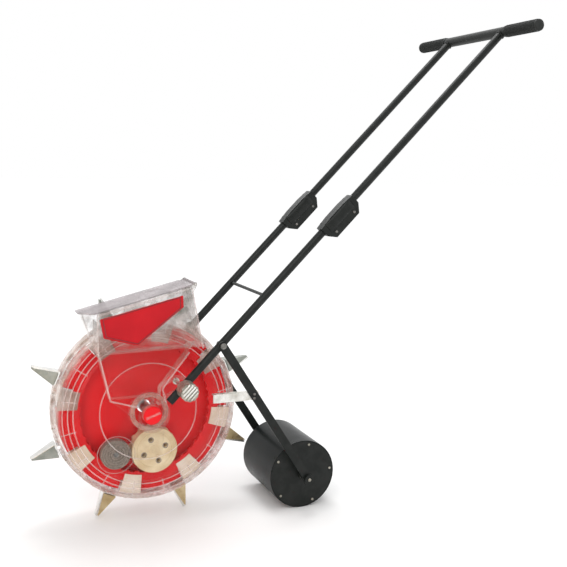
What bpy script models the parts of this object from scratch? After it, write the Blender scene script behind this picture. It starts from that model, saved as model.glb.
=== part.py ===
import bmesh
import bpy
import math
from mathutils import Matrix, Vector

# Sizes in metres, axle frame: origin on the drum axle, +X to the handle, +Y to the right, +Z up
WALL = 0.003
GAP = 0.0003
TUBE_ANGLE = math.radians(45.9)
TUBE_RISE = 0.008
TUBE_SPACING = 0.228
TUBE_RADIUS = 0.0095
TUBE_BORE = 0.008
TUBE_START = 0.047
KNOB_ALONG = 0.092
ARM_ALONG = 0.2185
STAY_ALONG = 0.369
SPLICE_ALONG = 0.625
HANDLE_ALONG = 1.254
STAY_RADIUS = 0.004
HANDLE_RADIUS = 0.0125
HANDLE_HALF = 0.2526
GRIP_RADIUS = 0.01375
GRIP_LENGTH = 0.125
SPLICE_LENGTH = 0.11
SPLICE_DEPTH = 0.046
SPLICE_THICK = 0.0135
ROLLER_X = 0.3683
ROLLER_RADIUS = 0.0836
ROLLER_HALF = 0.0919
ROLLER_AXLE_RADIUS = 0.008
ARM_WIDTH = 0.020
ARM_THICK = 0.004
BOLT_RADIUS = 0.0032
STUD_RADIUS = 0.004
KNOB_RADIUS = 0.021
KNOB_LENGTH = 0.044
SCRAPER_LENGTH = 0.110
SCRAPER_HEIGHT = 0.020
SCRAPER_Z = 0.040
DRUM_Y = 0.012
DRUM_RADIUS = 0.209
DIVIDER_GAP = 0.0085
DRUM_HALF = 0.052
SHELL_WALL = 0.0025
FLANGE_RISE = 0.006
FLANGE_THICK = 0.004
RING_WALL = 0.0135
BILL_COUNT = 8
BILL_LENGTH = 0.0634
BILL_HALF = 0.018
BILL_ROOT = 0.016
BILL_TAPER = 0.72
WINDOW_LEAD = math.radians(11.5)
WINDOW_SPREAD = math.radians(7.5)
SEED_HOLE = 0.006
BOSS_RADIUS = 0.034
BUSH_WALL = 0.011
AXLE_RADIUS = 0.012
FAR_BUSH_WALL = 0.008
HUB_RADIUS = 0.040
HUB_BORE = 0.022
RING_TEETH = 42
METER_TEETH = 15
BRUSH_TEETH = 8
RING_PITCH = 0.1515
TOOTH_RISE = 0.0012
RING_FRONT = 0.027
RING_REAR = 0.0165
METER_ANGLE = math.radians(-80.73)
BRUSH_ANGLE = math.radians(-127.25)
METER_RADIUS = 0.054
METER_DEPTH = 0.006
METER_HOLE = 0.0045
BRUSH_RADIUS = 0.0345
SHAFT_RADIUS = 0.006
HOPPER_GAP = 0.0005
CHUTE_GAP = 0.005
CHUTE_DEPTH = 0.030
BILL_CLEAR = 0.006
FRONT_LEAN = 0.027
LID_THICK = 0.003
PIN_RADIUS = 0.002

# Sizes that follow from the ones above
TUBE_Y = TUBE_SPACING / 2
TUBE_IN = TUBE_Y - TUBE_RADIUS
TUBE_OUT = TUBE_Y + TUBE_RADIUS
ARM_IN = TUBE_OUT + 0.0005
ARM_OUT = ARM_IN + ARM_THICK
DIVIDER_RADIUS = DRUM_RADIUS - DIVIDER_GAP
FLANGE_RADIUS = DRUM_RADIUS + FLANGE_RISE
RIB_RADIUS = RING_PITCH + RING_WALL
HALF_STEP = math.pi / BILL_COUNT
BILL_TIP = FLANGE_RADIUS + GAP + BILL_LENGTH
JAW_TIP = -0.006
GROUND = -(BILL_TIP * math.cos(HALF_STEP) - JAW_TIP * math.sin(HALF_STEP))
ROLLER_Z = GROUND + ROLLER_RADIUS
METER_PITCH = RING_PITCH * METER_TEETH / RING_TEETH
BRUSH_PITCH = RING_PITCH * BRUSH_TEETH / RING_TEETH
METER_X = (RING_PITCH - METER_PITCH) * math.cos(METER_ANGLE)
METER_Z = (RING_PITCH - METER_PITCH) * math.sin(METER_ANGLE)
BRUSH_X = (RING_PITCH - BRUSH_PITCH) * math.cos(BRUSH_ANGLE)
BRUSH_Z = (RING_PITCH - BRUSH_PITCH) * math.sin(BRUSH_ANGLE)
RING_NEAR = DRUM_Y - RING_FRONT
RING_BACK = DRUM_Y - RING_REAR
METER_FRONT = METER_DEPTH - DRUM_HALF
HOPPER_NEAR = HOPPER_GAP - TUBE_IN
HOPPER_BACK = DRUM_Y - DRUM_HALF - CHUTE_GAP
HOPPER_FAR = DRUM_Y - BILL_HALF - BILL_CLEAR
CHUTE_NEAR = HOPPER_BACK - CHUTE_DEPTH
SHELL_HOLE = BOSS_RADIUS + BUSH_WALL
FAR_HOLE = AXLE_RADIUS + FAR_BUSH_WALL
TOP_LEFT = Vector((-0.130, 0.243))
TOP_RIGHT = Vector((0.080, 0.297))
TOP_RUN = (TOP_RIGHT - TOP_LEFT).normalized()
TOP_UP = Vector((-TOP_RUN.y, TOP_RUN.x))
FAR_FRONT = TOP_LEFT - TOP_RUN * FRONT_LEAN
LID_HINGE = TOP_RIGHT + TOP_RUN * 0.0085 + TOP_UP * 0.002

for old in list(bpy.data.objects):
    bpy.data.objects.remove(old, do_unlink=True)

parts = bpy.data.collections.new("dibble_wheel_seeder")
cutters = bpy.data.collections.new("cutters")
for group in (parts, cutters):
    bpy.context.scene.collection.children.link(group)

COLOURS = {
    "black": (0.030, 0.032, 0.030, 1.0, 0.35, 0.2),
    "rubber": (0.020, 0.020, 0.020, 1.0, 0.7, 0.0),
    "zinc": (0.62, 0.60, 0.56, 1.0, 0.3, 1.0),
    "clear": (0.80, 0.80, 0.78, 0.4, 0.1, 0.0),
    "red": (0.70, 0.010, 0.018, 1.0, 0.35, 0.0),
    "cream": (0.68, 0.52, 0.29, 1.0, 0.5, 0.0),
    "brush": (0.19, 0.14, 0.11, 1.0, 0.8, 0.0),
}


def along(distance, rise=TUBE_RISE):
    x = distance * math.cos(TUBE_ANGLE) - rise * math.sin(TUBE_ANGLE)
    z = distance * math.sin(TUBE_ANGLE) + rise * math.cos(TUBE_ANGLE)
    return x, z


def mesh_object(name, verts, faces, origin):
    mesh = bpy.data.meshes.new(name)
    local = [Vector(v) - Vector(origin) for v in verts]
    mesh.from_pydata(local, [], faces)
    work = bmesh.new()
    work.from_mesh(mesh)
    bmesh.ops.recalc_face_normals(work, faces=work.faces)
    work.to_mesh(mesh)
    work.free()
    made = bpy.data.objects.new(name, mesh)
    made.location = origin
    return made


def revolve(name, profile, centre, axis=(0, 1, 0), segments=24, origin=None, flute=1.0, start=0.0):
    way = Vector(axis).normalized()
    side = way.orthogonal().normalized() if abs(way.y) < 0.99 else Vector((1, 0, 0))
    other = side.cross(way) if abs(way.y) > 0.99 else way.cross(side)
    verts = []
    rows = []
    widest = max(radius for radius, run in profile)
    for radius, run in profile:
        if radius < 1e-9:
            rows.append([len(verts)])
            verts.append(Vector(centre) + way * run)
            continue
        row = []
        for k in range(segments):
            a = start + 2 * math.pi * k / segments
            r = radius * (flute if k % 2 and radius == widest else 1.0)
            row.append(len(verts))
            verts.append(Vector(centre) + way * run + side * (r * math.cos(a)) + other * (r * math.sin(a)))
        rows.append(row)
    solid = len(rows[0]) == 1
    faces = []
    for i in range(len(rows) - (1 if solid else 0)):
        low = rows[i]
        high = rows[(i + 1) % len(rows)]
        for k in range(segments):
            j = (k + 1) % segments
            if len(low) == 1:
                faces.append((low[0], high[k], high[j]))
            elif len(high) == 1:
                faces.append((low[k], low[j], high[0]))
            else:
                faces.append((low[k], low[j], high[j], high[k]))
    return mesh_object(name, verts, faces, origin or centre)


def prism(name, outline, y0, y1, origin=(0, 0, 0), place=None, taper=None):
    turn = place or Matrix.Identity(4)
    count = len(outline)
    mid = (y0 + y1) / 2
    verts = []
    for y in (y0, y1):
        for p in outline:
            share = taper(p) if taper else 1.0
            verts.append(turn @ Vector((p[0], mid + (y - mid) * share, p[1])))
    faces = [tuple(range(count)), tuple(range(count, 2 * count))]
    faces += [(k, (k + 1) % count, (k + 1) % count + count, k + count) for k in range(count)]
    return mesh_object(name, verts, faces, origin)


def rod(name, p0, p1, radius, segments=16):
    length = (Vector(p1) - Vector(p0)).length
    profile = [(0, 0), (radius, 0), (radius, length), (0, length)]
    return revolve(name, profile, p0, Vector(p1) - Vector(p0), segments)


def circle(x, z, radius, count, start=0.0):
    step = 2 * math.pi / count
    return [(x + radius * math.cos(start + k * step), z + radius * math.sin(start + k * step))
            for k in range(count)]


def hull(points):
    ordered = sorted(set(points))
    chain = []
    for run in (ordered, ordered[::-1]):
        part = []
        for p in run:
            while len(part) > 1 and turn_of(part[-2], part[-1], p) <= 0:
                part.pop()
            part.append(p)
        chain += part[:-1]
    return chain


def turn_of(a, b, c):
    return (b[0] - a[0]) * (c[1] - a[1]) - (b[1] - a[1]) * (c[0] - a[0])


def inset(points, depth):
    ring = []
    count = len(points)
    for k in range(count):
        a = Vector(points[k - 1])
        b = Vector(points[k])
        c = Vector(points[(k + 1) % count])
        d0 = (b - a).normalized()
        d1 = (c - b).normalized()
        n0 = Vector((-d0.y, d0.x))
        n1 = Vector((-d1.y, d1.x))
        ring.append(b + (n0 + n1) * (depth / (1 + n0.dot(n1))))
    return ring


def add(made, colour):
    parts.objects.link(made)
    skin = bpy.data.materials.new(made.name)
    skin.use_nodes = True
    shader = skin.node_tree.nodes["Principled BSDF"]
    red, green, blue, alpha, rough, metal = COLOURS[colour]
    shader.inputs["Base Color"].default_value = (red, green, blue, 1.0)
    shader.inputs["Alpha"].default_value = alpha
    shader.inputs["Roughness"].default_value = rough
    shader.inputs["Metallic"].default_value = metal
    skin.diffuse_color = (red, green, blue, alpha)
    made.data.materials.append(skin)
    return made


def shape(made, tool, operation):
    cutters.objects.link(tool)
    tool.hide_render = True
    tool.display_type = "WIRE"
    step = made.modifiers.new(tool.name, "BOOLEAN")
    step.operation = operation
    step.solver = "EXACT"
    step.object = tool


def join(made, tool):
    shape(made, tool, "UNION")


def cut(made, tool):
    shape(made, tool, "DIFFERENCE")


def cross_hole(name, spot, radius, y0, y1, segments=12):
    return rod(name, (spot[0], y0, spot[1]), (spot[0], y1, spot[1]), radius, segments)


def plane(distance):
    x, z = along(distance)
    return Vector((x, 0, z))


# Handle tubes, one lower and one upper on each side, with the bolt and stud holes
way = Vector((math.cos(TUBE_ANGLE), 0, math.sin(TUBE_ANGLE)))
knob_spot = along(KNOB_ALONG)
arm_spot = along(ARM_ALONG)
handle_spot = along(HANDLE_ALONG)
SIDES = (("left", -1), ("right", 1))
for label, side in SIDES:
    runs = (
        ("lower_tube_" + label, TUBE_START, SPLICE_ALONG - 0.001),
        ("upper_tube_" + label, SPLICE_ALONG + 0.001, HANDLE_ALONG - HANDLE_RADIUS - GAP),
    )
    for name, start, end in runs:
        spot = plane(start) + Vector((0, side * TUBE_Y, 0))
        ring = [(TUBE_BORE, 0), (TUBE_RADIUS, 0), (TUBE_RADIUS, end - start), (TUBE_BORE, end - start)]
        tube = add(revolve(name, ring, spot, way, 16), "black")
        if name.startswith("lower"):
            holes = (("stud", knob_spot, STUD_RADIUS), ("bolt", arm_spot, BOLT_RADIUS))
            for kind, place, size in holes:
                low = side * (TUBE_IN - 0.01)
                high = side * (TUBE_OUT + 0.01)
                cut(tube, cross_hole("cut_" + kind + "_" + label, place, size + GAP, low, high))

# Handlebar with its two grips, and the stay rod between the lower tubes
bar_end = HANDLE_HALF - 0.002 - GAP
add(rod("handlebar", (handle_spot[0], -bar_end, handle_spot[1]),
        (handle_spot[0], bar_end, handle_spot[1]), HANDLE_RADIUS, 20), "black")
for label, side in SIDES:
    inner = HANDLE_HALF - GRIP_LENGTH
    sleeve = [(0, side * HANDLE_HALF), (GRIP_RADIUS - 0.002, side * HANDLE_HALF),
              (GRIP_RADIUS, side * (HANDLE_HALF - 0.002)), (GRIP_RADIUS, side * inner),
              (HANDLE_RADIUS + GAP, side * inner), (HANDLE_RADIUS + GAP, side * (HANDLE_HALF - 0.002)),
              (0, side * (HANDLE_HALF - 0.002))]
    spot = (handle_spot[0], 0, handle_spot[1])
    add(revolve("grip_" + label, sleeve, spot, segments=20), "rubber")
stay_spot = along(STAY_ALONG)
stay_end = TUBE_IN - GAP
add(rod("stay_rod", (stay_spot[0], -stay_end, stay_spot[1]), (stay_spot[0], stay_end, stay_spot[1]),
        STAY_RADIUS, 12), "black")

# Splice clamps, an outer and an inner half on each side of the tube joint
tilt = Matrix.Translation(plane(SPLICE_ALONG)) @ Matrix.Rotation(-TUBE_ANGLE, 4, "Y")
half = SPLICE_LENGTH / 2
deep = SPLICE_DEPTH / 2
block = [(-half, -deep * 0.5), (-half * 0.72, -deep * 1.35), (half * 0.72, -deep * 1.35), (half, -deep * 0.5),
         (half, deep * 0.52), (half * 0.4, deep * 0.65), (-half * 0.4, deep * 0.65), (-half, deep * 0.52)]
for label, side in SIDES:
    for kind, turn in (("outer", side), ("inner", -side)):
        flat = side * TUBE_Y + turn * GAP
        face = side * TUBE_Y + turn * SPLICE_THICK
        clamp = add(prism("splice_" + label + "_" + kind, block, flat, face, place=tilt), "black")
        low = plane(SPLICE_ALONG - SPLICE_LENGTH) + Vector((0, side * TUBE_Y, 0))
        high = plane(SPLICE_ALONG + SPLICE_LENGTH) + Vector((0, side * TUBE_Y, 0))
        cut(clamp, rod("cut_splice_" + label + "_" + kind, low, high, TUBE_RADIUS + GAP, 16))

# Press roller: arms, bolts, axle, shell and caps
roller_spot = (ROLLER_X, ROLLER_Z)
roller_centre = (ROLLER_X, 0, ROLLER_Z)
for label, side in SIDES:
    ends = circle(*arm_spot, ARM_WIDTH / 2, 16) + circle(*roller_spot, ARM_WIDTH / 2, 16)
    arm = add(prism("roller_arm_" + label, hull(ends), side * ARM_IN, side * ARM_OUT), "black")
    low = side * (ARM_IN - 0.01)
    high = side * (ARM_OUT + 0.01)
    cut(arm, cross_hole("cut_arm_top_" + label, arm_spot, BOLT_RADIUS + GAP, low, high))
    cut(arm, cross_hole("cut_arm_low_" + label, roller_spot, ROLLER_AXLE_RADIUS + GAP, low, high, 16))
    nut = TUBE_IN - GAP
    bolt = [(0, side * (ARM_OUT + 0.005)), (0.007, side * (ARM_OUT + 0.005)), (0.007, side * (ARM_OUT + GAP)),
            (BOLT_RADIUS, side * (ARM_OUT + GAP)), (BOLT_RADIUS, side * nut), (0.0065, side * nut),
            (0.0065, side * (nut - 0.005)), (0, side * (nut - 0.005))]
    add(revolve("arm_bolt_" + label, bolt, (arm_spot[0], 0, arm_spot[1]), segments=12), "zinc")
    cap = [(ROLLER_AXLE_RADIUS + GAP, side * ROLLER_HALF), (ROLLER_RADIUS, side * ROLLER_HALF),
           (ROLLER_RADIUS, side * (ROLLER_HALF - 0.002)),
           (ROLLER_AXLE_RADIUS + GAP, side * (ROLLER_HALF - 0.002))]
    add(revolve("roller_cap_" + label, cap, roller_centre, segments=48), "black")
wide = ROLLER_HALF - 0.002 - GAP
shell = [(ROLLER_RADIUS - 0.002, -wide), (ROLLER_RADIUS, -wide), (ROLLER_RADIUS, wide),
         (ROLLER_RADIUS - 0.002, wide)]
add(revolve("roller_shell", shell, roller_centre, segments=48), "black")
head = ARM_OUT + GAP
spindle = [(0, -head - 0.007), (ROLLER_AXLE_RADIUS + 0.004, -head - 0.007),
           (ROLLER_AXLE_RADIUS + 0.004, -head), (ROLLER_AXLE_RADIUS, -head), (ROLLER_AXLE_RADIUS, head),
           (ROLLER_AXLE_RADIUS + 0.004, head), (ROLLER_AXLE_RADIUS + 0.004, head + 0.007), (0, head + 0.007)]
add(revolve("roller_axle", spindle, roller_centre, segments=18), "zinc")

# Scraper: an angle bar on the inner face of the left arm
fall = (SCRAPER_Z - arm_spot[1]) / (ROLLER_Z - arm_spot[1])
scraper_end = arm_spot[0] + fall * (ROLLER_X - arm_spot[0]) + ARM_WIDTH / 2
scraper_face = -ARM_IN + GAP
top = SCRAPER_Z + SCRAPER_HEIGHT / 2
foot = SCRAPER_Z - SCRAPER_HEIGHT / 2
angle_bar = [(scraper_face, foot), (scraper_face + 0.0025, foot), (scraper_face + 0.0025, top - 0.0025),
             (scraper_face + 0.012, top - 0.0025), (scraper_face + 0.012, top), (scraper_face, top)]
sideways = Matrix.Rotation(math.radians(90), 4, "Z")
bar = prism("scraper", angle_bar, -scraper_end, SCRAPER_LENGTH - scraper_end, place=sideways)
add(bar, "zinc")

# Drum: two clear halves, red divider, ring gear and bushes
drum_centre = (0, DRUM_Y, 0)
BILL_ANGLES = [HALF_STEP + 2 * HALF_STEP * k for k in range(BILL_COUNT)]


def spokes(name, radius, inner, outer):
    verts = []
    faces = []
    for angle in BILL_ANGLES:
        out = Vector((math.cos(angle), 0, math.sin(angle)))
        across = Vector((-math.sin(angle), 0, math.cos(angle)))
        base = len(verts)
        for reach in (inner, outer):
            for k in range(10):
                a = 2 * math.pi * (k + 0.5) / 10
                ring = across * (radius * math.cos(a)) + Vector((0, radius * math.sin(a), 0))
                verts.append(Vector(drum_centre) + out * reach + ring)
        faces.append(tuple(range(base, base + 10)))
        faces.append(tuple(range(base + 10, base + 20)))
        faces += [(base + k, base + (k + 1) % 10, base + (k + 1) % 10 + 10, base + k + 10) for k in range(10)]
    return mesh_object(name, verts, faces, drum_centre)


def drum_profile(side, hole):
    face = DRUM_HALF - SHELL_WALL
    inside = DRUM_RADIUS - SHELL_WALL
    return [(hole, side * (DRUM_HALF + 0.004)), (hole + 0.004, side * (DRUM_HALF + 0.004)),
            (hole + 0.004, side * DRUM_HALF), (RIB_RADIUS - 0.0015, side * DRUM_HALF),
            (RIB_RADIUS - 0.0015, side * (DRUM_HALF + 0.002)), (RIB_RADIUS + 0.0015, side * (DRUM_HALF + 0.002)),
            (RIB_RADIUS + 0.0015, side * DRUM_HALF), (DRUM_RADIUS - 0.004, side * DRUM_HALF),
            (DRUM_RADIUS, side * (DRUM_HALF - 0.004)), (DRUM_RADIUS, side * FLANGE_THICK),
            (FLANGE_RADIUS, side * FLANGE_THICK), (FLANGE_RADIUS, side * GAP / 2), (inside, side * GAP / 2),
            (inside, side * face), (hole, side * face)]


for label, side, hole in (("left", -1, SHELL_HOLE), ("right", 1, FAR_HOLE)):
    half_shell = revolve("drum_shell_" + label, drum_profile(side, hole), drum_centre, segments=48)
    add(half_shell, "clear")
    cut(half_shell, spokes("cut_seed_" + label, SEED_HOLE, DRUM_RADIUS - 0.02, FLANGE_RADIUS + 0.02))
for label, side, inner, outer in (("left", -1, BOSS_RADIUS, SHELL_HOLE), ("right", 1, AXLE_RADIUS, FAR_HOLE)):
    near = side * (DRUM_HALF - SHELL_WALL)
    far = side * (DRUM_HALF + 0.004)
    bush = [(inner + GAP, near), (outer - GAP, near), (outer - GAP, far), (inner + GAP, far)]
    add(revolve("bearing_" + label, bush, drum_centre, segments=32), "zinc")

rim_out = DIVIDER_RADIUS
rim_in = RIB_RADIUS - 0.002
disc = [(AXLE_RADIUS + 0.004, -0.0015), (rim_in, -0.0015), (rim_in, -0.016), (rim_out, -0.016),
        (rim_out, 0.016), (rim_in, 0.016), (rim_in, 0.0015), (AXLE_RADIUS + 0.004, 0.0015)]
divider = add(revolve("seed_divider", disc, drum_centre, segments=48), "red")
wedges = []
wedge_faces = []
for angle in BILL_ANGLES:
    base = len(wedges)
    for y in (DRUM_Y - 0.03, DRUM_Y + 0.03):
        for reach, turn in ((rim_in + 0.005, -1), (rim_out + 0.01, -1), (rim_out + 0.01, 1), (rim_in + 0.005, 1)):
            a = angle + WINDOW_LEAD + turn * WINDOW_SPREAD
            wedges.append(Vector((reach * math.cos(a), y, reach * math.sin(a))))
    wedge_faces += [tuple(range(base, base + 4)), tuple(range(base + 4, base + 8))]
    wedge_faces += [(base + k, base + (k + 1) % 4, base + (k + 1) % 4 + 4, base + k + 4) for k in range(4)]
cut(divider, mesh_object("cut_windows", wedges, wedge_faces, drum_centre))


def teeth(x, z, pitch, count, phase, inward):
    points = []
    step = 2 * math.pi / count
    for k in range(count):
        for turn, rise in ((-0.27, -1.7), (-0.13, 1), (0.13, 1), (0.27, -1.7)):
            a = phase + (k + turn) * step
            r = pitch + rise * TOOTH_RISE * (-1 if inward else 1)
            points.append((x + r * math.cos(a), z + r * math.sin(a)))
    return points


def ring_prism(name, outer, inner, y0, y1, origin):
    count = len(outer)
    verts = []
    for ring in (outer, inner):
        for y in (y0, y1):
            verts += [(p[0], y, p[1]) for p in ring]
    faces = []
    for k in range(count):
        j = (k + 1) % count
        faces.append((k, j, count + j, count + k))
        faces.append((2 * count + k, 2 * count + j, 3 * count + j, 3 * count + k))
        faces.append((k, j, 2 * count + j, 2 * count + k))
        faces.append((count + k, count + j, 3 * count + j, 3 * count + k))
    return mesh_object(name, verts, faces, origin)


ring_inner = teeth(0, 0, RING_PITCH, RING_TEETH, METER_ANGLE, True)
ring_rim = RIB_RADIUS + 0.010
ring_outer = [(ring_rim * p[0] / math.hypot(*p), ring_rim * p[1] / math.hypot(*p)) for p in ring_inner]
ring = ring_prism("ring_gear", ring_outer, ring_inner, RING_NEAR, RING_BACK - GAP, drum_centre)
add(ring, "cream")


# Metering roller and brush roller, each with its pinion, and their shafts
def pinion(name, x, z, pitch, count, angle, radius, colour):
    step = 2 * math.pi / count
    lead = (METER_ANGLE - angle) * RING_TEETH / (2 * math.pi) % 1.0
    contour = teeth(x, z, pitch, count, angle + (0.5 + lead) * step, False)
    bore = SHAFT_RADIUS + GAP
    inside = [(x + bore * (p[0] - x) / math.hypot(p[0] - x, p[1] - z),
               z + bore * (p[1] - z) / math.hypot(p[0] - x, p[1] - z)) for p in contour]
    centre = (x, DRUM_Y, z)
    made = add(ring_prism(name, contour, inside, RING_NEAR - 0.0008, RING_BACK - GAP, centre), colour)
    rear = -RING_FRONT - 0.0005
    face = [(bore, METER_FRONT), (radius, METER_FRONT), (radius, rear), (bore, rear)]
    join(made, revolve("join_" + name, face, centre, segments=36))
    return made


meter = pinion("metering_roller", METER_X, METER_Z, METER_PITCH, METER_TEETH, METER_ANGLE, METER_RADIUS, "cream")
for k in range(4):
    a = math.radians(20 + 90 * k)
    spot = (METER_X + 0.5 * METER_RADIUS * math.cos(a), METER_Z + 0.5 * METER_RADIUS * math.sin(a))
    cut(meter, cross_hole("cut_meter_" + str(k), spot, METER_HOLE, DRUM_Y - DRUM_HALF, DRUM_Y, 10))
pinion("brush_roller", BRUSH_X, BRUSH_Z, BRUSH_PITCH, BRUSH_TEETH, BRUSH_ANGLE, BRUSH_RADIUS, "brush")
for name, x, z in (("meter_shaft", METER_X, METER_Z), ("brush_shaft", BRUSH_X, BRUSH_Z)):
    tip = METER_FRONT - 0.0002
    head = GAP - RING_REAR
    pin = [(0, tip), (SHAFT_RADIUS, tip), (SHAFT_RADIUS, head), (SHAFT_RADIUS + 0.003, head),
           (SHAFT_RADIUS + 0.003, head + 0.0042), (0, head + 0.0042)]
    add(revolve(name, pin, (x, DRUM_Y, z), segments=14), "zinc")

# Feed plate behind the drum face, around the hopper boss, carrying both shafts
eye = circle(0, 0, BOSS_RADIUS + 0.006, 24)
eye += circle(METER_X, METER_Z, 0.018, 16) + circle(BRUSH_X, BRUSH_Z, 0.018, 16)
feed_back = DRUM_Y + METER_FRONT - 0.0005
feed = add(prism("feed_plate", hull(eye), feed_back - 0.002, feed_back), "clear")
cut(feed, cross_hole("cut_feed", (0, 0), BOSS_RADIUS + GAP, HOPPER_BACK, DRUM_Y, 32))

# Bills: a fixed jaw on the rim and a sprung flap hinged on the root plate
seat = FLANGE_RADIUS + GAP
HINGE_OUT = seat + 0.0062
HINGE_SIDE = BILL_ROOT - 0.0025
jaw = [(-BILL_ROOT, seat), (BILL_ROOT, seat), (BILL_ROOT, seat + 0.0025), (-BILL_ROOT + 0.004, seat + 0.0025),
       (JAW_TIP + 0.0015, BILL_TIP - 0.008), (JAW_TIP, BILL_TIP), (JAW_TIP - 0.003, BILL_TIP - 0.002),
       (-BILL_ROOT, seat + 0.007)]
flap = [(-BILL_ROOT + 0.002, seat + 0.004), (BILL_ROOT, seat + 0.004), (BILL_ROOT, seat + 0.0075),
        (JAW_TIP + 0.0045, BILL_TIP - 0.0025), (JAW_TIP + 0.0022, BILL_TIP - 0.0025)]
hollow = [(-BILL_ROOT - 0.02, seat - 0.002), (BILL_ROOT - 0.005, seat - 0.002),
          (BILL_ROOT - 0.005, seat + 0.0065), (JAW_TIP + 0.0026, BILL_TIP - 0.0055),
          (JAW_TIP - 0.02, BILL_TIP - 0.0055)]


def narrowing(p):
    return 1 - BILL_TAPER * (p[1] - seat) / (BILL_TIP - seat)


for k, angle in enumerate(BILL_ANGLES):
    spin = Matrix.Rotation(math.radians(90) - angle, 4, "Y")
    mirror = Matrix.Diagonal((-1, 1, 1, 1))
    seat_frame = spin @ mirror
    hinge = seat_frame @ Vector((HINGE_SIDE, DRUM_Y, HINGE_OUT))
    low = DRUM_Y - BILL_HALF
    high = DRUM_Y + BILL_HALF
    body = prism("bill_body_" + str(k + 1), jaw, low + 0.002, high - 0.002, drum_centre, seat_frame,
                 narrowing)
    add(body, "zinc")
    cover = prism("bill_flap_" + str(k + 1), flap, low, high, hinge, seat_frame, narrowing)
    add(cover, "zinc")
    cut(cover, prism("cut_flap_" + str(k + 1), hollow, low + 0.0017, high - 0.0017, hinge, seat_frame,
                     narrowing))
    inlet = seat_frame @ Vector((0, DRUM_Y, seat - 0.01))
    outlet = seat_frame @ Vector((0, DRUM_Y, seat + 0.01))
    cut(body, rod("cut_bill_" + str(k + 1), inlet, outlet, SEED_HOLE, 10))

# Hopper: upper box, overhang, chute and hub in one moulding, open at the top
box = [tuple(TOP_LEFT), (-0.128, 0.152), (0.108, 0.159), tuple(TOP_RIGHT)]
clear_arc = FLANGE_RADIUS + 0.010
over = [tuple(FAR_FRONT), (-0.136, math.sqrt(clear_arc ** 2 - 0.136 ** 2) + 0.002)]
for x in (-0.090, -0.045, 0.0, 0.045, 0.085):
    over.append((x, math.sqrt(clear_arc ** 2 - x ** 2)))
over += [(0.0985, over[-1][1]), tuple(TOP_RIGHT)]
chute = [(-0.122, 0.160), (-0.122, 0.146), (-0.096, 0.041), (-0.030, -0.015), (0.020, 0.0), (0.022, 0.061),
         (0.084, 0.141), (0.084, 0.160)]
lug = [(0.005, 0.030), (0.052, 0.052), (0.072, 0.058), (0.074, 0.084), (0.046, 0.088), (0.012, 0.072)]


def opened(points):
    ring = inset(points, WALL)
    ring[0] = ring[0] + TOP_UP * 0.02
    ring[-1] = ring[-1] + TOP_UP * 0.02
    return [tuple(p) for p in ring]


hopper = add(prism("hopper", box, HOPPER_NEAR, HOPPER_BACK), "clear")
join(hopper, prism("join_over", over, HOPPER_BACK - 0.001, HOPPER_FAR))
join(hopper, prism("join_chute", chute, CHUTE_NEAR, HOPPER_BACK))
join(hopper, rod("join_hub", (0, CHUTE_NEAR - 0.003, 0), (0, HOPPER_BACK, 0), HUB_RADIUS, 32))
join(hopper, rod("join_boss", (0, HOPPER_BACK - 0.001, 0), (0, DRUM_Y - 0.034, 0), BOSS_RADIUS, 32))
join(hopper, prism("join_lug", lug, -TUBE_IN + 0.001, CHUTE_NEAR + 0.015))
ear = [tuple(TOP_RIGHT - TOP_UP * 0.016 - TOP_RUN * 0.001), tuple(LID_HINGE + TOP_RUN * 0.004 - TOP_UP * 0.002),
       tuple(LID_HINGE + TOP_RUN * 0.004 + TOP_UP * 0.003), tuple(LID_HINGE - TOP_RUN * 0.003 + TOP_UP * 0.003),
       tuple(TOP_RIGHT - TOP_RUN * 0.002 - TOP_UP * 0.001)]
ears = ((HOPPER_NEAR + 0.0005, HOPPER_NEAR + 0.0045), (HOPPER_FAR - 0.0045, HOPPER_FAR - 0.0005))
for k, (low, high) in enumerate(ears):
    join(hopper, prism("join_ear_" + str(k), ear, low, high))
cut(hopper, prism("cut_box", opened(box), HOPPER_NEAR + WALL, HOPPER_BACK - WALL))
cut(hopper, prism("cut_over", opened(over), HOPPER_BACK - WALL - 0.001, HOPPER_FAR - WALL))
throat = [(-0.119, 0.170), (-0.119, 0.1464), (-0.0935, 0.0435), (0.018, 0.0435), (0.0195, 0.062),
          (0.081, 0.1425), (0.081, 0.170)]
cut(hopper, prism("cut_chute", throat, CHUTE_NEAR + WALL, HOPPER_BACK - WALL))
cut(hopper, rod("cut_cup", (0, CHUTE_NEAR - 0.01, 0), (0, CHUTE_NEAR + 0.013, 0), HUB_BORE, 28))
cut(hopper, rod("cut_axle", (0, CHUTE_NEAR + 0.016, 0), (0, DRUM_Y, 0), AXLE_RADIUS + GAP, 24))
spout = [(HOPPER_BACK - 0.013, 0.047), (HOPPER_BACK - 0.013, 0.020), (DRUM_Y - 0.02, 0.016),
         (DRUM_Y - 0.02, 0.028), (HOPPER_BACK - 0.001, 0.030), (HOPPER_BACK - 0.005, 0.047)]
cut(hopper, prism("cut_spout", spout, -0.008, 0.008, place=Matrix.Rotation(math.radians(90), 4, "Z")))
cut(hopper, cross_hole("cut_lug", knob_spot, STUD_RADIUS + GAP, -TUBE_Y, CHUTE_NEAR + 0.03))
cut(hopper, cross_hole("cut_ears", tuple(LID_HINGE), PIN_RADIUS + GAP, HOPPER_NEAR - 0.01, HOPPER_FAR + 0.01))

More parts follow.
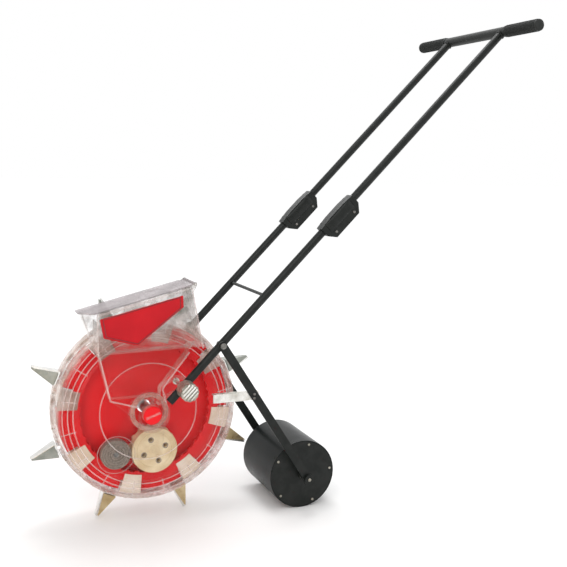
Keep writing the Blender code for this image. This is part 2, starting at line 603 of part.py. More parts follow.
# Lid with its knuckle on the rear edge, and the hinge pin through the hopper ears
lid_low = TOP_UP * GAP
lid_high = TOP_UP * (GAP + LID_THICK)
back = TOP_RIGHT - TOP_RUN * 0.004
top_length = (back - TOP_LEFT).length
plate = [(-0.006, HOPPER_NEAR + 0.0005), (top_length, HOPPER_NEAR + 0.0005), (top_length, HOPPER_FAR - 0.0005),
         (-0.006 - FRONT_LEAN, HOPPER_FAR - 0.0005), (-0.006 - FRONT_LEAN, HOPPER_BACK - 0.004)]
top_frame = Matrix((
    (TOP_RUN.x, TOP_UP.x, 0, TOP_LEFT.x),
    (0, 0, 1, 0),
    (TOP_RUN.y, TOP_UP.y, 0, TOP_LEFT.y),
    (0, 0, 0, 1),
))
hinge_line = (LID_HINGE.x, 0, LID_HINGE.y)
lid = add(prism("hopper_lid", plate, GAP, GAP + LID_THICK, hinge_line, top_frame), "clear")
span = (ears[0][1] + GAP, ears[1][0] - GAP)
strap = [tuple(back - TOP_RUN * 0.004 + lid_low), tuple(TOP_RIGHT + TOP_RUN * 0.001 + lid_low),
         tuple(LID_HINGE - TOP_UP * 0.001), tuple(LID_HINGE + TOP_UP * 0.001),
         tuple(back - TOP_RUN * 0.004 + lid_high)]
join(lid, prism("join_strap", strap, *span, hinge_line))
join(lid, rod("join_knuckle", (LID_HINGE.x, span[0], LID_HINGE.y), (LID_HINGE.x, span[1], LID_HINGE.y),
              PIN_RADIUS + 0.002, 14))
cut(lid, cross_hole("cut_knuckle", tuple(LID_HINGE), PIN_RADIUS + GAP, HOPPER_NEAR - 0.01, HOPPER_FAR + 0.01))
add(rod("lid_hinge_pin", (LID_HINGE.x, HOPPER_NEAR + 0.0008, LID_HINGE.y),
        (LID_HINGE.x, HOPPER_FAR - 0.0008, LID_HINGE.y), PIN_RADIUS, 12), "zinc")

# Label panel on the near face of the hopper, left bare
panel = [(-0.125, 0.231), (-0.117, 0.190), (-0.043, 0.170), (0.060, 0.251), (0.059, 0.277)]
add(prism("label_panel", panel, HOPPER_NEAR - GAP - 0.0012, HOPPER_NEAR - GAP), "red")

# Axle, hub cap and right side bracket
add(rod("axle", (0, CHUTE_NEAR + 0.0165, 0), (0, TUBE_IN + 0.001, 0), AXLE_RADIUS, 24), "zinc")
cap = [(0, CHUTE_NEAR - 0.002), (HUB_BORE - 0.003, CHUTE_NEAR - 0.002), (HUB_BORE - GAP, CHUTE_NEAR + 0.001),
       (HUB_BORE - GAP, CHUTE_NEAR + 0.0125), (0, CHUTE_NEAR + 0.0125)]
add(revolve("hub_cap", cap, (0, 0, 0), segments=28), "red")
bracket_face = TUBE_IN - 0.001
web = hull(circle(0, 0, 0.026, 20) + circle(*knob_spot, 0.016, 16))
bracket = add(prism("side_bracket_right", web, bracket_face - 0.0065, bracket_face), "clear")
join(bracket, rod("join_bracket", (0, DRUM_Y + DRUM_HALF + 0.006, 0), (0, bracket_face - 0.003, 0), 0.020, 24))
cut(bracket, rod("cut_bracket", (0, DRUM_Y, 0), (0, TUBE_Y, 0), AXLE_RADIUS + GAP, 24))
cut(bracket, cross_hole("cut_bracket_stud", knob_spot, STUD_RADIUS + GAP, DRUM_Y, TUBE_Y))

# Knob studs and hand knobs on both sides
for label, side in SIDES:
    inner = -(CHUTE_NEAR + 0.015) if side < 0 else bracket_face - 0.0065
    tip = TUBE_OUT + KNOB_LENGTH
    seat_y = side * (inner - GAP)
    spot = (knob_spot[0], 0, knob_spot[1])
    stud = [(0, side * (tip - 0.001)), (STUD_RADIUS, side * (tip - 0.001)), (STUD_RADIUS, seat_y),
            (STUD_RADIUS + 0.004, seat_y), (STUD_RADIUS + 0.004, seat_y - side * 0.003),
            (0, seat_y - side * 0.003)]
    add(revolve("knob_stud_" + label, stud, spot, segments=12), "zinc")
    collar = TUBE_OUT + 0.0006
    grip = [(STUD_RADIUS + GAP, side * collar), (0.012, side * collar), (0.012, side * (collar + 0.005)),
            (KNOB_RADIUS, side * (collar + 0.007)), (KNOB_RADIUS, side * tip), (STUD_RADIUS + GAP, side * tip)]
    add(revolve("knob_" + label, grip, spot, segments=24, flute=0.92), "zinc")

# Origin at the middle of the box, on the ground
bpy.context.view_layer.update()
graph = bpy.context.evaluated_depsgraph_get()
corners = []
for made in parts.objects:
    solid = made.evaluated_get(graph)
    corners += [solid.matrix_world @ Vector(corner) for corner in solid.bound_box]
shift = Vector((
    -(min(c.x for c in corners) + max(c.x for c in corners)) / 2,
    -(min(c.y for c in corners) + max(c.y for c in corners)) / 2,
    -min(c.z for c in corners),
))
for group in (parts, cutters):
    for made in group.objects:
        made.location = made.location + shift
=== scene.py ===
import bmesh
import bpy
import numpy as np
from mathutils import Matrix, Vector


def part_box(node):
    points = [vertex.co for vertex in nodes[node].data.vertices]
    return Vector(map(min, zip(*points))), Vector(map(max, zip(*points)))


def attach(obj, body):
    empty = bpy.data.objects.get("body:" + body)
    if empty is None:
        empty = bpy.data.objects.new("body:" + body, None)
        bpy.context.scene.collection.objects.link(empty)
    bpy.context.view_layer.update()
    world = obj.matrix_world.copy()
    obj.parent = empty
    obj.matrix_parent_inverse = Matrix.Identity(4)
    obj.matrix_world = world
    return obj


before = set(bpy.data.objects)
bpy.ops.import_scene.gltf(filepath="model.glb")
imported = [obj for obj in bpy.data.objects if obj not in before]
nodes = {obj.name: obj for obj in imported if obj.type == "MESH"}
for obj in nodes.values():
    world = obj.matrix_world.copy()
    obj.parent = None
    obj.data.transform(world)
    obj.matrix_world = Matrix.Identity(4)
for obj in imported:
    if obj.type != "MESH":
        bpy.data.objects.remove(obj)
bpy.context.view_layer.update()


def middle(node):
    low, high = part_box(node)
    return np.array((low + high) / 2)


def span(node):
    low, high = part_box(node)
    return np.array(high - low)


axle = middle("axle")
drum = np.array([axle[0], (middle("drum_shell_left") + middle("drum_shell_right"))[1] / 2, axle[2]])
rollerMid = middle("roller_shell")
tubeRun = span("upper_tube_left") * np.array([1, 0, 1])
tubeRun = tubeRun / np.linalg.norm(tubeRun)
tubeUp = np.array([-tubeRun[2], 0, tubeRun[0]])
acrossY = np.array([0.0, 1.0, 0.0])
print("frame loaded:", len(nodes), "nodes")

# finishes: two tones mixed by noise, a roughness range and a fine bump, all on Object coordinates
finishes = {
    "satinBlackPaint": dict(tones=[(0.009, 0.011, 0.010), (0.016, 0.018, 0.017)], grain=60, rough=(0.30, 0.40),
                            bump=(900, 0.004), metal=0.0, coat=0.0, gloss=0.2),
    "rollerEnamel": dict(tones=[(0.007, 0.009, 0.009), (0.013, 0.015, 0.014)], grain=9, rough=(0.26, 0.36),
                         bump=(300, 0.02), metal=0.0, coat=0.0, gloss=0.1),
    "gripRubber": dict(tones=[(0.007, 0.009, 0.008), (0.013, 0.015, 0.014)], grain=140, rough=(0.45, 0.6),
                       bump=(700, 0.06), metal=0.0, coat=0.0, gloss=0.3),
    "zincPlate": dict(tones=[(0.50, 0.48, 0.43), (0.78, 0.77, 0.74)], grain=45, rough=(0.20, 0.40),
                      bump=(1200, 0.04), metal=1.0, coat=0.0),
    "billZinc": dict(tones=[(0.66, 0.65, 0.62), (0.80, 0.80, 0.78)], grain=30, rough=(0.18, 0.32),
                     bump=(700, 0.04), metal=0.95, coat=0.0),
    "flapZinc": dict(tones=[(0.20, 0.215, 0.19), (0.34, 0.35, 0.32)], grain=26, rough=(0.25, 0.40),
                     bump=(700, 0.04), metal=0.85, coat=0.0),
    # painted reflection: the lowest flaps are warm tan where they would reflect a warm floor
    "flapPaintedReflection": dict(tones=[(0.46, 0.34, 0.17), (0.66, 0.54, 0.33)], grain=26, rough=(0.25, 0.40),
                    bump=(700, 0.04), metal=0.85, coat=0.0),
    "darkScrew": dict(tones=[(0.12, 0.12, 0.11), (0.26, 0.25, 0.24)], grain=120, rough=(0.25, 0.40),
                      bump=(900, 0.03), metal=0.8, coat=0.0),
    "knobMetal": dict(tones=[(0.22, 0.21, 0.17), (0.50, 0.48, 0.42)], grain=110, rough=(0.25, 0.45),
                      bump=(800, 0.08), metal=0.7, coat=0.0),
    "redMoulding": dict(tones=[(0.74, 0.003, 0.008), (0.84, 0.008, 0.014)], grain=14, rough=(0.38, 0.52),
                        bump=(500, 0.03), metal=0.0, coat=0.0, gloss=0.25),
    "gearRed": dict(tones=[(0.68, 0.003, 0.008), (0.78, 0.007, 0.012)], grain=22, rough=(0.40, 0.55),
                    bump=(500, 0.04), metal=0.0, coat=0.0, gloss=0.25),
    "panelRed": dict(tones=[(0.46, 0.002, 0.009), (0.55, 0.004, 0.011)], grain=12, rough=(0.28, 0.40),
                     bump=(900, 0.01), metal=0.0, coat=0.0, gloss=0.25),
    # painted shade: darker red along the label panel's edges
    "panelEdgeShade": dict(tones=[(0.16, 0.002, 0.006), (0.24, 0.004, 0.010)], grain=30, rough=(0.3, 0.4),
                        bump=(900, 0.02), metal=0.0, coat=0.2),
    "creamMoulding": dict(tones=[(0.64, 0.50, 0.30), (0.80, 0.68, 0.47)], grain=35, rough=(0.4, 0.6),
                          bump=(400, 0.06), metal=0.0, coat=0.0),
    "brushFibre": dict(tones=[(0.16, 0.13, 0.11), (0.33, 0.28, 0.24)], grain=420, rough=(0.7, 0.95),
                       bump=(900, 0.6), metal=0.0, coat=0.0),
    "clearMoulding": dict(tones=[(0.70, 0.66, 0.64), (0.90, 0.88, 0.87)], grain=14, rough=(0.04, 0.12),
                          bump=(60, 0.03), metal=0.0, coat=0.0, alpha=(0.006, 0.42), gloss=0.3,
                          dull=dict(along="radius", span=(0.197, 0.208), alpha=(0.12, 0.40), grain=46,
                                    tones=[(0.46, 0.36, 0.30), (0.86, 0.75, 0.69)])),
    "bushNylon": dict(tones=[(0.52, 0.34, 0.27), (0.72, 0.54, 0.46)], grain=40, rough=(0.25, 0.4),
                      bump=(300, 0.03), metal=0.0, coat=0.0, alpha=(0.40, 0.75), gloss=0.4),
    "windowCream": dict(tones=[(0.80, 0.66, 0.52), (0.95, 0.87, 0.77)], grain=30, rough=(0.3, 0.45),
                        bump=(60, 0.03), metal=0.0, coat=0.0, alpha=(0.86, 0.95), gloss=0.3),
    # painted shade: a darker, duller copy of the cream for the upper cells at rest
    "windowPaintedShade": dict(tones=[(0.46, 0.35, 0.29), (0.72, 0.61, 0.54)], grain=30, rough=(0.3, 0.45),
                        bump=(60, 0.03), metal=0.0, coat=0.0, alpha=(0.50, 0.70), gloss=0.3),
    "hopperClear": dict(tones=[(0.58, 0.44, 0.39), (0.86, 0.72, 0.68)], grain=26, rough=(0.04, 0.14),
                        bump=(50, 0.05), metal=0.0, coat=0.0, alpha=(0.008, 0.50), gloss=0.35,
                        dull=dict(along="height", span=(0.155, 0.215), alpha=(0.10, 0.42), grain=40,
                                  tones=[(0.26, 0.25, 0.22), (0.68, 0.63, 0.62)])),
    "lidSmoke": dict(tones=[(0.21, 0.17, 0.18), (0.42, 0.36, 0.375)], grain=30, rough=(0.05, 0.16),
                     bump=(60, 0.04), metal=0.0, coat=0.0, alpha=(0.45, 0.80)),
    "clearRib": dict(tones=[(0.80, 0.66, 0.64), (0.94, 0.88, 0.86)], grain=20, rough=(0.05, 0.15),
                     bump=(80, 0.03), metal=0.0, coat=0.0, alpha=(0.22, 0.55)),
}


def joinMath(tree, kind, first, second):
    made = tree.nodes.new("ShaderNodeMath")
    made.operation = kind
    tree.links.new(first, made.inputs[0])
    tree.links.new(second, made.inputs[1])
    return made.outputs[0]


def makeFinish(name):
    values = finishes[name]
    skin = bpy.data.materials.new(name)
    skin.use_nodes = True
    tree = skin.node_tree
    shader = tree.nodes["Principled BSDF"]
    place = tree.nodes.new("ShaderNodeTexCoord").outputs["Object"]

    def noise(scale, detail):
        made = tree.nodes.new("ShaderNodeTexNoise")
        made.inputs["Scale"].default_value = scale
        made.inputs["Detail"].default_value = detail
        tree.links.new(place, made.inputs["Vector"])
        return made.outputs["Fac"]

    def ranged(source, low, high, start=0.3, end=0.7):
        made = tree.nodes.new("ShaderNodeMapRange")
        for key, value in (("From Min", start), ("From Max", end), ("To Min", low), ("To Max", high)):
            made.inputs[key].default_value = value
        tree.links.new(source, made.inputs["Value"])
        return made.outputs["Result"]

    def toneRamp(source, tones):
        ramp = tree.nodes.new("ShaderNodeValToRGB")
        for stop, tone, at in zip(ramp.color_ramp.elements, tones, (0.35, 0.65)):
            stop.color = (*tone, 1)
            stop.position = at
        tree.links.new(source, ramp.inputs["Fac"])
        return ramp.outputs["Color"]

    tone = toneRamp(noise(values["grain"], 4), values["tones"])
    tree.links.new(tone, shader.inputs["Base Color"])
    tree.links.new(ranged(noise(values["grain"] * 2.3, 3), *values["rough"]), shader.inputs["Roughness"])
    scale, strength = values["bump"]
    bump = tree.nodes.new("ShaderNodeBump")
    bump.inputs["Strength"].default_value = strength
    bump.inputs["Distance"].default_value = 0.001
    tree.links.new(noise(scale, 2), bump.inputs["Height"])
    tree.links.new(bump.outputs["Normal"], shader.inputs["Normal"])
    shader.inputs["Metallic"].default_value = values["metal"]
    shader.inputs["Coat Weight"].default_value = values["coat"]
    shader.inputs["Coat Roughness"].default_value = 0.12
    if "gloss" in values:
        shader.inputs["Specular IOR Level"].default_value = values["gloss"]
    if "alpha" in values:  # clear wall: more solid where it is seen edge on
        edge = tree.nodes.new("ShaderNodeLayerWeight")
        edge.inputs["Blend"].default_value = 0.35
        solid = ranged(edge.outputs["Facing"], *values["alpha"], 0.05, 1.0)
        if "dull" in values:  # a duller, tinted zone in patches: towards the drum's rim, or up the hopper
            zone = values["dull"]
            if zone["along"] == "radius":
                centred = tree.nodes.new("ShaderNodeMapping")
                centred.inputs["Location"].default_value = (-drum[0], 0, -drum[2])
                centred.inputs["Scale"].default_value = (1, 0, 1)
                tree.links.new(place, centred.inputs["Vector"])
                away = tree.nodes.new("ShaderNodeVectorMath")
                away.operation = "LENGTH"
                tree.links.new(centred.outputs["Vector"], away.inputs[0])
                inZone = ranged(away.outputs["Value"], 0.0, 1.0, *zone["span"])
            else:
                split = tree.nodes.new("ShaderNodeSeparateXYZ")
                tree.links.new(place, split.inputs["Vector"])
                inZone = ranged(split.outputs["Z"], 0.0, 1.0, *(axle[2] + np.array(zone["span"])))
            patches = ranged(noise(zone["grain"], 4), *zone["alpha"], 0.38, 0.62)
            solid = joinMath(tree, "ADD", solid, joinMath(tree, "MULTIPLY", inZone, patches))
            zoneRamp = toneRamp(noise(zone["grain"] * 0.7, 4), zone["tones"])
            tint = tree.nodes.new("ShaderNodeMix")
            tint.data_type = "RGBA"
            tree.links.new(inZone, tint.inputs["Factor"])
            tree.links.new(tone, tint.inputs[6])
            tree.links.new(zoneRamp, tint.inputs[7])
            tree.links.new(tint.outputs[2], shader.inputs["Base Color"])
        tree.links.new(solid, shader.inputs["Alpha"])
        skin.surface_render_method = "BLENDED"
    return skin


skins = {name: makeFinish(name) for name in finishes}
print("finishes:", len(skins))

# the finish of every CAD node, by the start of its name
nodeFinish = {
    "lower_tube": "satinBlackPaint", "upper_tube": "satinBlackPaint", "stay_rod": "satinBlackPaint",
    "splice": "satinBlackPaint", "handlebar": "gripRubber", "grip": "gripRubber",
    "roller_arm": "satinBlackPaint", "roller_axle": "satinBlackPaint", "roller_cap": "satinBlackPaint",
    "roller_shell": "rollerEnamel", "arm_bolt": "darkScrew", "axle": "darkScrew",
    # flaps 6 to 8, the lowest at rest, take the painted warm reflection
    "knob_left": "knobMetal", "knob_right": "knobMetal", "bill_body": "billZinc", "bill_flap_6": "flapPaintedReflection",
    "bill_flap_7": "flapPaintedReflection", "bill_flap_8": "flapPaintedReflection", "bill_flap": "flapZinc",
    "drum_shell": "clearMoulding", "feed_plate": "clearMoulding", "bearing": "bushNylon",
    "hopper_lid": "lidSmoke", "hopper": "hopperClear", "side_bracket": "clearRib",
    "seed_divider": "redMoulding", "hub_cap": "redMoulding", "ring_gear": "gearRed", "label_panel": "panelRed",
    "metering_roller": "creamMoulding", "meter_shaft": "creamMoulding", "brush_roller": "brushFibre",
    "brush_shaft": "darkScrew",
}
for name, node in nodes.items():
    found = [finish for start, finish in nodeFinish.items() if name.startswith(start)]
    node.data.materials.clear()
    node.data.materials.append(skins[found[0] if found else "zincPlate"])
    node.data.polygons.foreach_set("use_smooth", np.ones(len(node.data.polygons), bool))
    if "custom_normal" in node.data.attributes:
        node.data.attributes.remove(node.data.attributes["custom_normal"])
    node.modifiers.new("weld", "WELD").merge_threshold = 1e-5
    node.modifiers.new("edges", "EDGE_SPLIT").split_angle = np.radians(32)
print("CAD nodes dressed")


def buildPiece(name, grids, body, finish, smooth=True):
    # each grid is (points[n, m, 3], wraps along n, wraps along m); all become one closed mesh on one body
    spots = []
    quads = []
    start = 0
    for points, wrapN, wrapM in grids:
        n, m = points.shape[:2]
        i, j = np.meshgrid(np.arange(n if wrapN else n - 1), np.arange(m if wrapM else m - 1), indexing="ij")
        i2 = (i + 1) % n
        j2 = (j + 1) % m
        corners = np.stack([i * m + j, i2 * m + j, i2 * m + j2, i * m + j2], -1)
        quads.append(corners.reshape(-1, 4) + start)
        spots.append(points.reshape(-1, 3))
        start += n * m
    mesh = bpy.data.meshes.new(name)
    mesh.from_pydata(np.concatenate(spots), [], np.concatenate(quads).tolist())
    work = bmesh.new()
    work.from_mesh(mesh)
    bmesh.ops.remove_doubles(work, verts=work.verts, dist=1e-6)
    bmesh.ops.recalc_face_normals(work, faces=work.faces)
    work.to_mesh(mesh)
    work.free()
    mesh.polygons.foreach_set("use_smooth", np.full(len(mesh.polygons), smooth))
    mesh.materials.append(skins[finish])
    piece = bpy.data.objects.new(name, mesh)
    bpy.context.scene.collection.objects.link(piece)
    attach(piece, body)


def turned(profile, centre, axis, around=20):
    # surface of revolution: profile rows are (radius, height along axis), poles at radius 0
    axis = np.array(axis, float) / np.linalg.norm(axis)
    guide = np.array([1.0, 0, 0]) if abs(axis[0]) < 0.9 else np.array([0, 0, 1.0])
    side = np.cross(axis, guide)
    side = side / np.linalg.norm(side)
    other = np.cross(axis, side)
    turn = np.linspace(0, 2 * np.pi, around, endpoint=False)
    ring = np.cos(turn)[:, None] * side + np.sin(turn)[:, None] * other
    profile = np.array(profile, float)
    points = np.array(centre) + profile[:, None, 1:] * axis + profile[:, None, :1] * ring
    return points, False, True


def pipe(path, radius, guide, closed=False, around=10):
    # a circle of the given radius carried along the path, its frame kept by the guide direction
    path = np.array(path, float)
    ahead = np.roll(path, -1, 0) - np.roll(path, 1, 0) if closed else np.gradient(path, axis=0)
    ahead = ahead / np.linalg.norm(ahead, axis=1)[:, None]
    side = np.cross(ahead, np.array(guide, float))
    side = side / np.linalg.norm(side, axis=1)[:, None]
    other = np.cross(ahead, side)
    turn = np.linspace(0, 2 * np.pi, around, endpoint=False)
    reach = np.full(len(path), radius)
    if not closed:  # ends run in to a point, so the pipe is closed
        path = np.concatenate([path[:1], path, path[-1:]])
        side = np.concatenate([side[:1], side, side[-1:]])
        other = np.concatenate([other[:1], other, other[-1:]])
        reach = np.concatenate([[0], reach, [0]])
    ring = np.cos(turn)[None, :, None] * side[:, None] + np.sin(turn)[None, :, None] * other[:, None]
    return path[:, None] + reach[:, None, None] * ring, closed, True


def spoke(turn):
    # unit direction at an angle in the drum's plane, for one angle or a whole array of them
    return np.stack([np.cos(turn), 0 * turn, np.sin(turn)], -1)


def circlePath(centre, radius, count=96):
    # points of a circle round the y axis: centre + radius * (cos, 0, sin)
    return np.array(centre) + radius * spoke(np.linspace(0, 2 * np.pi, count, endpoint=False))


def screwHead(centre, axis, radius, height):
    # low dome: radius falls off as the square root towards the top, with a socket in the middle
    rise = np.linspace(0, 1, 6)
    dome = [(0, 0.0), (radius, 0.0)]
    dome += list(zip(radius * np.sqrt(1 - 0.7 * rise ** 2), height * rise))
    dome += [(radius * 0.35, height), (radius * 0.3, height * 0.55), (0, height * 0.55)]
    return turned(dome, centre, axis, 16)


def hexNut(centre, axis, radius, height):
    # six-sided block with chamfered corners
    return turned([(0, 0), (radius, 0), (radius, height * 0.85), (radius * 0.88, height), (0, height)],
                  centre, axis, 6)


# press roller: rolled rims, cap screws, axle nuts and pin ends
rollerTrim = {"capScrews": 5, "screwCircle": 0.074, "screwRadius": 0.0032, "screwHeight": 0.0018, "phase": 1.353,
              "capProud": 0.0023, "rimRadius": 0.0014}
rollerNuts = {"outer": dict(inset=0.0068, radius=0.0105, height=0.0066),
              "inner": dict(place=0.0945, radius=0.0125, height=0.008),
              "pin": dict(sunk=0.0003, radius=0.0042, height=0.0026)}
rollerReach = span("roller_shell")[0] / 2
capY = span("roller_shell")[1] / 2 + rollerTrim["capProud"]
axleHalf = span("roller_axle")[1] / 2
turns = rollerTrim["phase"] + np.arange(rollerTrim["capScrews"]) * 2 * np.pi / rollerTrim["capScrews"]
heads = []
rims = []
outerNuts = []
innerNuts = []
pinEnds = []
for side in (-1, 1):
    out = side * acrossY
    for turn in turns:
        spot = rollerMid + rollerTrim["screwCircle"] * spoke(turn)
        heads.append(screwHead(spot + capY * out, out, rollerTrim["screwRadius"], rollerTrim["screwHeight"]))
    edge = rollerMid + (capY - rollerTrim["rimRadius"] * 0.6) * out
    rim = circlePath(edge, rollerReach - rollerTrim["rimRadius"])
    rims.append(pipe(rim, rollerTrim["rimRadius"], acrossY, True))
    nut = rollerNuts["outer"]
    outerNuts.append(hexNut(rollerMid + (axleHalf - nut["inset"]) * out, out, nut["radius"], nut["height"]))
    nut = rollerNuts["inner"]
    innerNuts.append(hexNut(rollerMid + nut["place"] * out, out, nut["radius"], nut["height"]))
    pin = rollerNuts["pin"]
    pinEnds.append(screwHead(rollerMid + (axleHalf - pin["sunk"]) * out, out, pin["radius"], pin["height"]))
buildPiece("rollerCapScrews", heads, "roller", "knobMetal")
buildPiece("rollerRims", rims, "roller", "rollerEnamel")
buildPiece("rollerNuts", outerNuts + innerNuts, "frame", "satinBlackPaint", smooth=False)
buildPiece("rollerPinEnds", pinEnds, "frame", "knobMetal")
print("roller trim done")


def crown(centre, out, halfLong, halfWide, rise, sunk):
    # pressed-out bulge over the tube: height is rise * sqrt(1 - v^2) * (1 - u^6), on a flat underside
    u, v = np.meshgrid(np.linspace(-1, 1, 33), np.linspace(-1, 1, 21), indexing="ij")
    height = rise * np.sqrt(1 - v ** 2) * (1 - u ** 6) - sunk
    flat = np.array(centre) + (u * halfLong)[..., None] * tubeRun + (v * halfWide)[..., None] * tubeUp
    top = flat + height[..., None] * out
    under = flat - sunk * np.array(out)
    return [(top, False, False), (under, False, False)]


# splices: a crown over the tube and two screws at the lower corners, on each clamp face
spliceTrim = {"places": (-0.032, 0.032), "drop": 0.018, "screwRadius": 0.0036, "screwHeight": 0.0022}
crownSize = {"halfLong": 0.043, "halfWide": 0.0135, "rise": 0.0055, "sunk": 0.0005}
bolts = []
crowns = []
for label, side in (("left", -1), ("right", 1)):
    tubeMid = middle("upper_tube_" + label)
    for kind, turn in (("outer", side), ("inner", -side)):
        node = "splice_" + label + "_" + kind
        low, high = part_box(node)
        centre = middle(node)
        onTube = tubeMid + (centre - tubeMid) @ tubeRun * tubeRun
        centre[1] = onTube[1] = high[1] if turn > 0 else low[1]
        for place in spliceTrim["places"]:
            spot = centre + place * tubeRun - spliceTrim["drop"] * tubeUp
            bolts.append(screwHead(spot, turn * acrossY, spliceTrim["screwRadius"], spliceTrim["screwHeight"]))
        crowns += crown(onTube, turn * acrossY, **crownSize)
buildPiece("spliceScrews", bolts, "frame", "darkScrew")
buildPiece("spliceCrowns", crowns, "frame", "satinBlackPaint")

# weld beads where the upper tubes and the stay rod meet what carries them
weldTrim = {"back": 0.0138, "ring": 0.0100, "bead": 0.0018, "ripple": 0.0006, "ripples": 9, "saddle": 0.0035,
            "stayRing": 0.0046, "stayBead": 0.0014, "stayInset": 0.001}
barMid = middle("handlebar")
stay = middle("stay_rod")
beads = []
turn = np.linspace(0, 2 * np.pi, 40, endpoint=False)
wave = weldTrim["ripple"] * np.sin(weldTrim["ripples"] * turn) + weldTrim["saddle"] * np.cos(turn + np.pi / 2) ** 2
for label in ("left", "right"):
    root = np.array([barMid[0], middle("upper_tube_" + label)[1], barMid[2]]) - weldTrim["back"] * tubeRun
    ring = root + weldTrim["ring"] * (np.cos(turn)[:, None] * acrossY + np.sin(turn)[:, None] * tubeUp)
    beads.append(pipe(ring + wave[:, None] * tubeRun, weldTrim["bead"], tubeRun, True))
for side in (-1, 1):
    root = stay + side * (span("stay_rod")[1] / 2 - weldTrim["stayInset"]) * acrossY
    beads.append(pipe(circlePath(root, weldTrim["stayRing"], 24), weldTrim["stayBead"], acrossY, True))
buildPiece("weldBeads", beads, "frame", "satinBlackPaint")

# grips: shallow ribs round each sleeve
gripTrim = {"ribs": 22, "ribRadius": 0.0009, "ends": 0.008}
gripReach = span("grip_left")[0] / 2
for label in ("left", "right"):
    low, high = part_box("grip_" + label)
    places = np.linspace(low[1] + gripTrim["ends"], high[1] - gripTrim["ends"], gripTrim["ribs"])
    ribs = [pipe(circlePath((barMid[0], y, barMid[2]), gripReach, 40), gripTrim["ribRadius"], acrossY, True, 6)
            for y in places]
    buildPiece("gripRibs_" + label, ribs, "frame", "gripRubber")
print("handle trim done")

# drum: moulded rings and spokes on both clear faces, and low ribs along the outer wall from flange to face
drumTrim = {"face": 0.052, "rings": (0.113, 0.172, 0.184, 0.196), "ringRadius": 0.0014, "spokes": 16,
            "spokeSpan": (0.168, 0.203), "spokeRadius": 0.0013, "wallRibs": 48, "wallRadius": 0.2088,
            "wallSpan": (0.006, 0.046), "wallRibRadius": 0.0012}
rings = []
for side in (-1, 1):
    face = drum + side * drumTrim["face"] * acrossY
    for reach in drumTrim["rings"]:
        rings.append(pipe(circlePath(face, reach, 120), drumTrim["ringRadius"], acrossY, True, 8))
    for k in range(drumTrim["spokes"]):
        out = spoke(2 * np.pi * (k + 0.5) / drumTrim["spokes"])
        path = face + np.linspace(*drumTrim["spokeSpan"], 4)[:, None] * out
        rings.append(pipe(path, drumTrim["spokeRadius"], acrossY, False, 8))
    for k in range(drumTrim["wallRibs"]):
        out = spoke(2 * np.pi * k / drumTrim["wallRibs"])
        path = (drum + drumTrim["wallRadius"] * out
                + side * np.linspace(*drumTrim["wallSpan"], 4)[:, None] * acrossY)
        rings.append(pipe(path, drumTrim["wallRibRadius"], out, False, 6))
buildPiece("drumRibs", rings, "drum", "clearRib")


def slab(near, far):
    # plate between two matching grids, closed round its four edges
    walls = [(near, False, False), (far, False, False)]
    for edge in (np.s_[0], np.s_[-1], np.s_[:, 0], np.s_[:, -1]):
        walls.append((np.stack([near[edge], far[edge]]), False, False))
    return walls


# seed cells: a cream pane in each window of the divider, and a cream cover in front of it over the ring gear; the
# four upper cells at rest are darker and duller, painted shade
billTurns = np.pi / 8 + np.pi / 4 * np.arange(8)
cells = {"lowerCells": ("windowPanes", "windowCream", (4, 5, 6, 7)),
         "upperShaded": ("dustyPanes", "windowPaintedShade", (0, 1, 2, 3)),
         "lead": np.radians(11.5), "spread": np.radians(7.2),
         "pane": dict(inner=0.1690, outer=0.1998, front=-0.0006, depth=0.0012),
         "cover": dict(inner=0.1590, outer=0.2035, front=-0.0292, depth=0.0014)}
cellTurns = np.linspace(-cells["spread"], cells["spread"], 9)
for name, finish, places in (cells["lowerCells"], cells["upperShaded"]):
    panes = []
    for plate in (cells["pane"], cells["cover"]):
        for k in places:
            reach, turn = np.meshgrid(np.linspace(plate["inner"], plate["outer"], 5),
                                      billTurns[k] + cells["lead"] + cellTurns, indexing="ij")
            flat = drum + plate["front"] * acrossY + reach[..., None] * spoke(turn)
            panes += slab(flat, flat + plate["depth"] * acrossY)
    buildPiece(name, panes, "drum", finish, smooth=False)

# flange bolts on both sides, between the bills
flangeTrim = {"bolts": 16, "phase": np.pi / 16 * 0.9, "circle": 0.2122, "place": 0.0041, "radius": 0.0026,
              "height": 0.003}
flange = []
for k in range(flangeTrim["bolts"]):
    spot = drum + flangeTrim["circle"] * spoke(2 * np.pi * k / flangeTrim["bolts"] + flangeTrim["phase"])
    for side in (-1, 1):
        flange.append(hexNut(spot + side * flangeTrim["place"] * acrossY, side * acrossY, flangeTrim["radius"],
                             flangeTrim["height"]))
buildPiece("flangeBolts", flange, "drum", "zincPlate", smooth=False)

# bill springs: a coil along each flap's pin
springTrim = {"reach": 0.2213, "aside": 0.0072, "coil": 0.0024, "wire": 0.0006, "half": 0.009, "coils": 5,
              "steps": 90}
turn = np.linspace(0, 2 * np.pi * springTrim["coils"], springTrim["steps"])[:, None]
rise = np.linspace(-springTrim["half"], springTrim["half"], springTrim["steps"])[:, None]
springs = []
for a in billTurns:
    out = spoke(a)
    across = spoke(a + np.pi / 2)
    root = drum + springTrim["reach"] * out + springTrim["aside"] * across
    helix = root + springTrim["coil"] * (np.cos(turn) * out + np.sin(turn) * across) + rise * acrossY
    springs.append(pipe(helix, springTrim["wire"], out * 0.3 + across * 0.2 + acrossY, False, 6))
buildPiece("billSprings", springs, "drum", "zincPlate")
print("drum trim done")

# hopper: lips along the top edges, corner ribs and the chute's side beads, as (x, z) from the axle
hopperTrim = {"topLeft": (-0.130, 0.243), "topRight": (0.080, 0.297), "lipPlaces": (-0.1045, -0.0115),
              "lipShort": (-0.004, -0.001), "lipDrop": 0.004, "lipRadius": 0.0022,
              "frontRun": (0.002, -0.088), "rearRun": (0.028, -0.137), "ribPlace": -0.104, "ribDrop": 0.005,
              "ribRadius": 0.0019, "chutePlace": -0.0755,
              "chuteFront": ((-0.122, 0.150), (-0.096, 0.041), (-0.034, 0.022)),
              "chuteRear": ((0.084, 0.141), (0.022, 0.061), (0.030, 0.027))}


